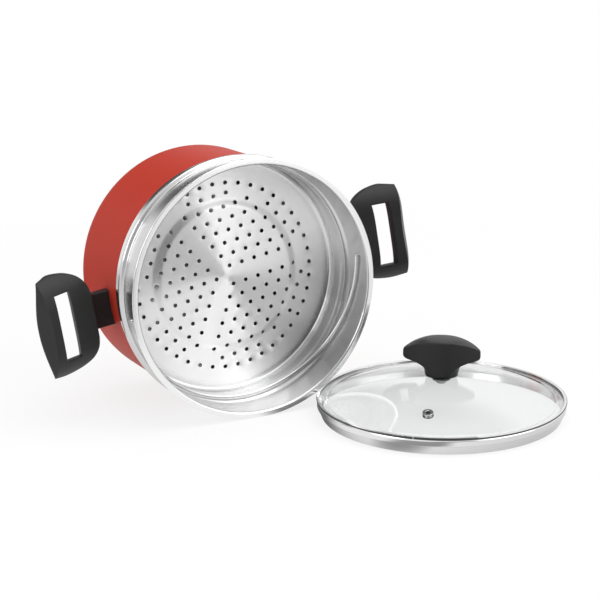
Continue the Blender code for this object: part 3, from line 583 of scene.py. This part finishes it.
def block_grid():
    """Block between the pot wall and the plate: a rounded rectangle across the handle, carried from
    the wall outwards through stations with their own top, bottom, half width and corner radius. The
    first two stations follow the round wall, and both ends close in a point."""
    v = np.array([0.1199, 0.1204, 0.1380, 0.1400, 0.1440, 0.1500, 0.1560, 0.1600])
    top = np.array([0, 0, 0, 0.0030, 0.0115, 0.0150, 0.0160, 0.0165])
    bottom = np.array([-0.0100, -0.0100, -0.0100, -0.0092, -0.0070, -0.0020, 0.0060, 0.0115])
    width = np.array([0.0175, 0.0175, 0.0175, 0.0175, 0.0175, 0.0172, 0.0165, 0.0150])
    round_off = np.array([0.0008, 0.0014, 0.0014, 0.0014, 0.0014, 0.0014, 0.0014, 0.0010])
    angle = np.concatenate([np.linspace(q, q + math.pi / 2, 7) for q in np.arange(4) * math.pi / 2])
    corner_x = np.repeat([1, -1, -1, 1], 7)
    corner_y = np.repeat([1, 1, -1, -1], 7)
    middle = (top + bottom) / 2
    tall = (top - bottom) / 2
    across = corner_x * (width - round_off)[:, None] + round_off[:, None] * np.cos(angle)
    up = middle[:, None] + corner_y * (tall - round_off)[:, None] + round_off[:, None] * np.sin(angle)
    out = v[:, None] + 0 * across
    out[:2] = np.sqrt(v[:2, None] ** 2 - across[:2] ** 2)
    grid = np.stack([out, across, up], axis=-1)
    first = np.repeat(grid[:1].mean(1, keepdims=True), grid.shape[1], 1)
    last = np.repeat(grid[-1:].mean(1, keepdims=True), grid.shape[1], 1)
    return np.concatenate([first, grid, last])


def joined(name, *pieces):
    """Join the meshes of several pieces into the first, under one name."""
    whole = bmesh.new()
    for piece in pieces:
        whole.from_mesh(piece.data)
    whole.to_mesh(pieces[0].data)
    whole.free()
    for piece in pieces[1:]:
        bpy.data.objects.remove(piece, do_unlink=True)
    pieces[0].name = name
    return pieces[0]


for side, turn in (("right", 8.3), ("left", 188.3)):
    handle_frame = pot_frame @ np.array(Matrix.Rotation(math.radians(turn), 3, "Z"))
    seat = pot_base + SEAT_HEIGHT * pot_frame[:, 2]
    plate = surface(side + "_grip_plate", grip_plate, handle_frame, seat, [black_phenolic],
                    wrap=(True, True), sharp=55)
    block = surface(side + "_grip_block", block_grid(), handle_frame, seat, [black_phenolic], sharp=60)
    grip = joined(side + "_grip_moulding", plate, block)
    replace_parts(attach(grip, "pot"), side + "_handle_grip")

# Rim band of the lid: polished stainless strip rolled round the edge of the glass, with a narrow flange
# on top, a channel that holds the glass, and below a crease a skirt that leans in to its foot. The
# rolled edge is painted a dark steel, a thin line of painted shade all round the lid.
LID_RADIUS = 0.1200
LID_HEIGHT = 0.0164
FLANGE_INNER = 0.1171
FLANGE_UNDER = 0.0156
BAND_WALL = 0.1194
CHANNEL_WALL = 0.1186
LEDGE_INNER = 0.1149
LEDGE_TOP = 0.0110
LEDGE_UNDER = 0.0102
FOOT_OUTER = 0.1152
FOOT_INNER = 0.1144
DARK_LINE_INNER = 0.1187
DARK_LINE_FOOT = 0.0149
# Corners run over the flange and the rolled edge, down its groove, the wall, the crease and the skirt,
# up inside it, and round the ledge that carries the glass.
band_corners = [(FLANGE_INNER, FLANGE_UNDER), (FLANGE_INNER, LID_HEIGHT), (LID_RADIUS, LID_HEIGHT)]
band_corners += [(LID_RADIUS, 0.0152), (0.1188, 0.0146), (0.1190, 0.0142), (BAND_WALL, 0.0136)]
band_corners += [(BAND_WALL, 0.0088), (0.1184, 0.0080), (0.1183, 0.0076), (FOOT_OUTER, 0)]
band_corners += [(FOOT_INNER, 0), (0.1178, 0.0080), (CHANNEL_WALL, LEDGE_UNDER)]
band_corners += [(LEDGE_INNER, LEDGE_UNDER), (LEDGE_INNER, LEDGE_TOP), (CHANNEL_WALL, LEDGE_TOP)]
band_corners += [(CHANNEL_WALL, FLANGE_UNDER), (FLANGE_INNER, FLANGE_UNDER)]
band_fillets = [0.0003, 0.0011, 0.0006, 0.0002, 0.0002, 0.0004, 0.0006, 0.0003, 0.0004, 0.0003, 0.0003,
                0.0010, 0.0006, 0.0003, 0.0003, 0.0003, 0.0003]
band_line = turned_line(band_corners, band_fillets, 5)
# Painted shade: the top of the rolled edge gets a dark steel colour, a thin dark line round the lid.
rolled = (band_line[:-1, 0] > DARK_LINE_INNER) & (band_line[:-1, 1] > DARK_LINE_FOOT)
dark_line_painted_steel = finish_of("steel_edge_painted_dark_line", "#4A4A4A", 0.30, 1.0)[0]
band = surface("lid_rim_rolled_band", revolved(band_line, 256), np.eye(3), lid_centre,
               [polished_steel, dark_line_painted_steel], rows=rolled.astype(int))
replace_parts(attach(band, "lid"), "lid_rim_band")

# Weld seam of the band: its two ends meet near the front in a ground weld, a low rounded ridge that
# runs over the flange and down the wall to the foot.
SEAM_TURN = math.radians(-133.0)
SEAM_HALF = 0.0005
SEAM_PROUD = 0.00018
SEAM_SUNK = 0.00005
SEAM_LIFTS_FROM = 0.0160
seam_turn = np.array(Matrix.Rotation(SEAM_TURN, 3, "Z"))
seam_line = turned_line(band_corners[1:11], 0.0004, 4)
seam_across = np.linspace(-1, 1, 9)[None]
seam_ridge = SEAM_PROUD * (1 - seam_across ** 2)
seam_out = seam_line[:, 0, None] + seam_ridge - SEAM_SUNK
seam_up = seam_line[:, 1, None] + seam_ridge * (seam_line[:, 1, None] > SEAM_LIFTS_FROM)
seam_grid = np.stack([seam_out, SEAM_HALF * seam_across + 0 * seam_out, seam_up], axis=-1)
seam = surface("lid_rim_weld_seam", seam_grid, seam_turn, lid_centre, [polished_steel],
               wrap=(False, False))
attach(seam, "lid")

# Glass of the lid: 4 mm toughened soda-lime glass, pressed to a shallow dome with a flat margin and a
# hole for the knob's screw. It is clear and smooth, a trace greyer than the air, and casts no shadow.
GLASS_RADIUS = 0.1183
GLASS_THICKNESS = 0.0040
GLASS_TOP = 0.0153
GLASS_HOLE = 0.0040
DOME_EDGE = 0.1103
DOME_RISE = 0.0216
MARGIN_ROUND = 0.0009
dome_radius = (DOME_EDGE ** 2 + DOME_RISE ** 2) / (2 * DOME_RISE)
dome_centre = GLASS_TOP + DOME_RISE - dome_radius
glass_crown = dome_centre + dome_radius


def dome_line(radius, height):
    """Points of the dome's circle in section, from the middle hole out to a height."""
    angle = np.linspace(math.asin(GLASS_HOLE / radius), math.acos((height - dome_centre) / radius), 40)
    return np.stack([radius * np.sin(angle), dome_centre + radius * np.cos(angle)], axis=-1)


glass_foot = GLASS_TOP - GLASS_THICKNESS
margin = turned_line([(DOME_EDGE + 0.0005, GLASS_TOP), (GLASS_RADIUS, GLASS_TOP),
                      (GLASS_RADIUS, glass_foot), (DOME_EDGE - 0.0003, glass_foot)], MARGIN_ROUND, 5)
glass_line = np.concatenate([dome_line(dome_radius, GLASS_TOP), margin,
                             dome_line(dome_radius - GLASS_THICKNESS, glass_foot)[::-1]])
toughened_glass = finish_of("toughened_soda_lime_glass", "#EFF0F0", 0.02, Transmission_Weight=1.0,
                            IOR=1.5)[0]
glass = surface("lid_glass_dome", revolved(glass_line, 256), np.eye(3), lid_centre, [toughened_glass],
                wrap=(True, True))
glass.visible_shadow = False
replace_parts(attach(glass, "lid"), "lid_glass")

# Vent eyelet: small stainless tube with both ends rolled out over the glass. Its bore and its underside
# are painted a dark steel, as painted shade inside the tube and under it.
VENT_ANGLE = math.radians(-129.8)
VENT_REACH = 0.0785
VENT_BORE = 0.0022
VENT_TUBE = 0.0036
VENT_FLANGE = 0.0052
VENT_SHEET = 0.0007
VENT_GAP = 0.0003
vent_lean = math.asin(VENT_REACH / dome_radius)
vent_frame = np.array(Matrix.Rotation(VENT_ANGLE, 3, "Z") @ Matrix.Rotation(vent_lean, 3, "Y"))
vent_top = dome_radius + VENT_GAP
vent_foot = dome_radius - GLASS_THICKNESS - VENT_GAP
vent_corners = [(VENT_BORE, vent_foot - VENT_SHEET), (VENT_BORE, vent_top + VENT_SHEET)]
vent_corners += [(VENT_FLANGE, vent_top + VENT_SHEET), (VENT_FLANGE, vent_top), (VENT_TUBE, vent_top)]
vent_corners += [(VENT_TUBE, vent_foot), (VENT_FLANGE, vent_foot)]
vent_corners += [(VENT_FLANGE, vent_foot - VENT_SHEET), (VENT_BORE, vent_foot - VENT_SHEET)]
vent_corners += [(VENT_BORE, vent_foot)]
rolled_steel = finish_of("rolled_stainless_steel", "#D2D2D2", 0.16, 1.0)[0]
# Painted shade: the bore and the underside of the eyelet take a dark steel colour.
bore_painted_shade_steel = finish_of("steel_bore_painted_shade", "#3A3A3A", 0.5, 0.6)[0]
vent_line = turned_line(vent_corners, 0.0006, 5)
bore = (vent_line[:, 0] < VENT_BORE + 0.0001) | (vent_line[:, 1] < vent_foot)
vent = surface("lid_vent_rolled_eyelet", revolved(vent_line, 48), vent_frame,
               lid_centre + np.array([0, 0, dome_centre]), [rolled_steel, bore_painted_shade_steel],
               wrap=(True, True), rows=bore.astype(int))
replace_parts(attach(vent, "lid"), "lid_vent_eyelet")

# Knob of the lid: phenolic moulding with a round neck that flares into a long leaf with a flat crown.
# It stands on its seal over the middle hole, and a screw from below holds it.
KNOB_TURN = math.radians(-36.0)
KNOB_HALF = 0.0370
KNOB_NECK = 0.0156
KNOB_HEIGHT = 0.0360
LEAF_HALF = 0.0150
LEAF_TIP = 0.0020
EDGE_ROUND = 0.0016
TIP_ROUND = 0.0024
TIP_FROM = 0.82
SEAL_TALL = 0.0018
knob_foot = glass_crown + SEAL_TALL
knob_frame = np.array(Matrix.Rotation(KNOB_TURN, 3, "Z"))
crown_curve = curve_through([(0, KNOB_HEIGHT), (0.0060, KNOB_HEIGHT), (0.0166, 0.0349),
                             (0.0266, 0.0312), (0.0326, 0.0274), (KNOB_HALF, 0.0230)])
flare_curve = curve_through([(KNOB_NECK, 0), (0.0158, 0.0030), (0.0176, 0.0080), (0.0222, 0.0122),
                             (0.0289, 0.0146), (KNOB_HALF, 0.0152)])


def crown_height(r):
    """Top of the knob over the radius: nearly flat, then falling in a curve to 23 mm at the ends."""
    return np.interp(r, crown_curve[:, 0], crown_curve[:, 1])


def flare_height(r):
    """Underside of the knob over the radius: out of the neck in a curve, then nearly flat."""
    return np.interp(r, flare_curve[:, 0], flare_curve[:, 1])


def knob_grid(columns=160):
    """Rows from the crown's middle over its edge, down the side and in under the flare to the foot;
    columns round the axis, with the edge on the outline of a leaf drawn by a parabola. The edge is
    rounded, more so at the two tips, by the square of how near they are."""
    angle = 2 * math.pi * np.arange(columns) / columns
    x = np.linspace(0, 1, 400)
    leaf = LEAF_TIP + (LEAF_HALF - LEAF_TIP) * (1 - x * x)
    leaf_angle = np.arctan2(leaf, x * KNOB_HALF)
    leaf_radius = np.hypot(leaf, x * KNOB_HALF)
    folded = np.abs((angle + math.pi / 2) % math.pi - math.pi / 2)
    edge = np.minimum(np.interp(folded, leaf_angle[::-1], leaf_radius[::-1]), KNOB_HALF)
    soft = EDGE_ROUND + TIP_ROUND * np.clip((edge / KNOB_HALF - TIP_FROM) / (1 - TIP_FROM), 0, 1) ** 2
    rows = [(t * (edge - soft), crown_height(t * (edge - soft))) for t in np.linspace(0, 1, 14)]
    high = crown_height(edge - soft)
    low = flare_height(np.maximum(edge - soft, KNOB_NECK))
    rows += [(edge - soft * (1 - math.sin(a)), high - soft * (1 - math.cos(a)))
             for a in np.linspace(0.2, math.pi / 2, 6)]
    rows += [(edge, (high - soft) * (1 - t) + (low + soft) * t) for t in np.linspace(0.15, 0.85, 6)]
    rows += [(edge - soft * (1 - math.cos(a)), low + soft * (1 - math.sin(a)))
             for a in np.linspace(0, math.pi / 2, 7)]
    for t in np.linspace(0.08, 1, 12):
        r = (edge - soft) * (1 - t) + KNOB_NECK * t
        rows.append((np.maximum(r, KNOB_NECK * 0.985), np.minimum(flare_height(r), low)))
    rows += [(0 * edge + KNOB_NECK, 0 * edge), (0 * edge, 0 * edge)]
    r = np.stack([row[0] for row in rows])
    z = np.stack([row[1] for row in rows])
    return np.stack([r * np.cos(angle), r * np.sin(angle), z], axis=-1)


knob = surface("lid_knob_moulding", knob_grid(), knob_frame, lid_centre + np.array([0, 0, knob_foot]),
               [black_phenolic], sharp=60)
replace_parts(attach(knob, "lid"), "lid_knob")

# Small pieces that keep their solids: the knob's grey silicone seal, and in polished steel its insert,
# washer and screw and the brackets and screws inside the handles.
seal_rubber = finish_of("moulded_silicone_rubber", "#8F8F92", 0.6)[0]
for name, finish in (("lid_knob_seal", seal_rubber), ("lid_knob_insert", polished_steel),
                     ("lid_knob_washer", polished_steel), ("lid_knob_screw", polished_steel),
                     ("left_handle_bracket", polished_steel), ("right_handle_bracket", polished_steel),
                     ("left_handle_screw", polished_steel), ("right_handle_screw", polished_steel)):
    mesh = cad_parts[name].data
    mesh.materials.clear()
    mesh.materials.append(finish)

# Studio: white paper floor in a white room with a few darker stretches, as a tent with its open side
# towards the camera has. The paper shows white to the camera, glass and metal, and keeps its shadows;
# where a surface mirrors it, its colour is painted darker in the same stretches, as painted reflection.
# Each dark stretch has its direction, the cosines of its full and its outer edge, and its depth.
DARK_STRETCHES = (((-0.25, -0.95, 0.17), 0.955, 0.85, 0.97),
                  ((0.0, 0.86, 0.50), 0.98, 0.915, 0.92),
                  ((-0.39, 0.886, -0.22), 0.997, 0.985, 0.92),
                  ((0.68, -0.58, -0.45), 0.96, 0.84, 0.15),
                  ((0.203, -0.882, -0.421), 0.9985, 0.993, 0.65),
                  ((0.48, -0.50, -0.72), 0.955, 0.875, 0.8),
                  ((0.25, 0.87, -0.42), 0.96, 0.87, 0.85),
                  ((0.10, 0.35, 0.93), 0.93, 0.80, 0.8))


def room_tone(tree, way):
    """Brightness of the room along a unit direction: the product, over the dark stretches, of 1 less
    the stretch's depth, which a smooth step of the cosine to its middle brings in."""
    tone = 1.0
    for middle, inner, outer, depth in DARK_STRETCHES:
        near = add(tree, "ShaderNodeVectorMath", {"operation": "DOT_PRODUCT"}, i0=way,
                   i1=tuple(Vector(middle).normalized())).outputs["Value"]
        part = add(tree, "ShaderNodeMapRange", {"interpolation_type": "SMOOTHSTEP"}, Value=near,
                   From_Min=outer, From_Max=inner, To_Min=1.0, To_Max=1.0 - depth).outputs[0]
        tone = add(tree, "ShaderNodeMath", {"operation": "MULTIPLY"}, i0=tone, i1=part).outputs[0]
    return tone


def seen_and_mirrored(tree):
    """Two masks from the light path: 1 for rays of the camera, glass and metal, and 1 for those of them
    that a surface has mirrored."""
    rays = add(tree, "ShaderNodeLightPath").outputs
    seen = add(tree, "ShaderNodeMath", {"operation": "MAXIMUM"}, i0=rays["Is Camera Ray"],
               i1=rays["Is Transmission Ray"]).outputs[0]
    seen = add(tree, "ShaderNodeMath", {"operation": "MAXIMUM"}, i0=seen,
               i1=rays["Is Glossy Ray"]).outputs[0]
    mirrored = add(tree, "ShaderNodeMath", {"operation": "MULTIPLY", "use_clamp": True}, i0=seen,
                   i1=rays["Glossy Depth"]).outputs[0]
    return seen, mirrored


FLOOR_HALF = 6.0
FLOOR_GAP = 0.0004
floor_mesh = bpy.data.meshes.new("paper_floor")
floor_corners = [(x * FLOOR_HALF, y * FLOOR_HALF, 0) for x, y in ((-1, -1), (1, -1), (1, 1), (-1, 1))]
floor_mesh.from_pydata(floor_corners, [], [(0, 1, 2, 3)])
floor = bpy.data.objects.new("paper_floor", floor_mesh)
bpy.context.collection.objects.link(floor)
floor.location.z = -FLOOR_GAP
paper, tree, shader = finish_of("matt_white_paper", "#F2F2F2", 0.9, Specular_IOR_Level=0.0)
floor_mesh.materials.append(paper)
place = add(tree, "ShaderNodeTexCoord").outputs["Object"]
from_plate = add(tree, "ShaderNodeVectorMath", {"operation": "SUBTRACT"}, i0=place,
                 i1=tuple(plate_centre)).outputs[0]
way = add(tree, "ShaderNodeVectorMath", {"operation": "NORMALIZE"}, i0=from_plate).outputs[0]
seen, mirrored = seen_and_mirrored(tree)
# Painted reflection: for mirrored rays the paper's colour and glow fall to the room's tone in its dark
# stretches.
tone = add(tree, "ShaderNodeMix", i0=mirrored, i2=1.0, i3=room_tone(tree, way)).outputs[0]
shade = add(tree, "ShaderNodeMix", {"data_type": "RGBA"}, i0=tone, i6=(0, 0, 0, 1),
            i7=linear("#F2F2F2"))
tree.links.new(shade.outputs[2], shader.inputs["Base Color"])
# The paper glows for what sees it, by 0.8 near the pot, where it keeps the shadow, and fully far off.
away = add(tree, "ShaderNodeVectorMath", {"operation": "LENGTH"}, i0=place).outputs["Value"]
glow_share = add(tree, "ShaderNodeMapRange", {"interpolation_type": "SMOOTHSTEP"}, Value=away,
                 From_Min=0.40, From_Max=1.10, To_Min=0.8, To_Max=1.0).outputs[0]
glow_share = add(tree, "ShaderNodeMath", {"operation": "MULTIPLY"}, i0=glow_share, i1=seen).outputs[0]
glow = add(tree, "ShaderNodeEmission", Color=(1, 1, 1, 1), Strength=tone).outputs[0]
both = add(tree, "ShaderNodeMixShader", i0=glow_share, i1=shader.outputs[0], i2=glow).outputs[0]
tree.links.new(both, tree.nodes["Material Output"].inputs["Surface"])

# Three large softboxes light the object plainly, from above, from the front right and from the left.
for name, spot, aim, size, power in (("overhead_softbox", (0.3, -0.2, 2.0), (0, 0, 0), 1.8, 25),
                                     ("front_softbox", (1.2, -1.55, 1.3), (0, 0, 0.1), 1.9, 13),
                                     ("left_softbox", (-1.9, -0.4, 1.0), (0, 0, 0.1), 1.0, 8)):
    lamp = bpy.data.lights.new(name, "AREA")
    lamp.size = size
    lamp.energy = power
    holder = bpy.data.objects.new(name, lamp)
    holder.matrix_world = (Matrix.Translation(spot)
                           @ (Vector(aim) - Vector(spot)).to_track_quat("-Z", "Y").to_matrix().to_4x4())
    bpy.context.collection.objects.link(holder)

# The room is white to what sees it, lights the object at a little over half of that, and is dark in
# its stretches for mirrored rays.
world = bpy.data.worlds.new("pale_room")
bpy.context.scene.world = world
world.use_nodes = True
tree = world.node_tree
backdrop = tree.nodes["Background"]
backdrop.inputs["Color"].default_value = (1, 1, 1, 1)
way = add(tree, "ShaderNodeTexCoord").outputs["Generated"]
seen, mirrored = seen_and_mirrored(tree)
plain = add(tree, "ShaderNodeMapRange", Value=seen, To_Min=0.55, To_Max=1.0).outputs[0]
strength = add(tree, "ShaderNodeMix", i0=mirrored, i2=plain, i3=room_tone(tree, way)).outputs[0]
tree.links.new(strength, backdrop.inputs["Strength"])

bpy.context.scene.view_settings.view_transform = "Standard"
bpy.context.view_layer.update()
